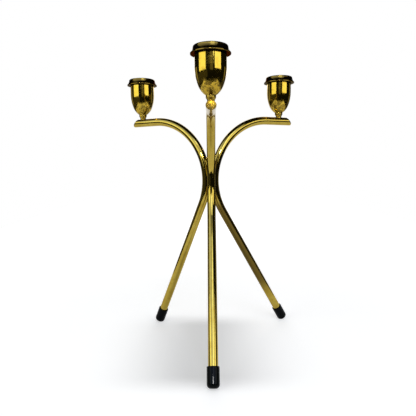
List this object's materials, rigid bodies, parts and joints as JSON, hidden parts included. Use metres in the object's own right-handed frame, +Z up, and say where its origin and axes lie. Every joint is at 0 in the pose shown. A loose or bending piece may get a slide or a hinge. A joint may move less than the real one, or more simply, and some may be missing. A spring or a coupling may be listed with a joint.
{
  "type": "tripod candelabra",
  "caption": "Brass tripod candelabra: bent rods brazed together at the waist hold bell-shaped candle cups on level arms and stand on splayed legs with rubber tips.",
  "frame": {"origin": "middle of the whole outline's plan, on the floor that the feet stand on", "axes": "+Z up; -Y points along the front arm, towards the viewer of the picture; +X to the viewer's right"},
  "size_m": [0.1728, 0.1606, 0.2591],
  "materials": {
    "rod_brass": "polished, lightly tarnished",
    "cup_brass": "polished, spotted near the foot of the bell",
    "ring_brass": "polished",
    "collar_brass": "polished, tarnished in the corners",
    "braze_metal": "dull as flowed",
    "screw_brass": "turned",
    "foot_rubber": "glossy black"
  },
  "bodies": {
    "root": {"rod_front": "rod_brass", "cup_collar_front": "collar_brass", "candle_cup_front": "cup_brass", "rim_ring_front": "ring_brass", "cup_screw_front": "screw_brass", "foot_tip_front": "foot_rubber", "rod_right": "rod_brass", "cup_collar_right": "collar_brass", "candle_cup_right": "cup_brass", "rim_ring_right": "ring_brass", "cup_screw_right": "screw_brass", "foot_tip_right": "foot_rubber", "rod_left": "rod_brass", "cup_collar_left": "collar_brass", "candle_cup_left": "cup_brass", "rim_ring_left": "ring_brass", "cup_screw_left": "screw_brass", "foot_tip_left": "foot_rubber", "waist_braze": "braze_metal"}
  },
  "joints": []
}
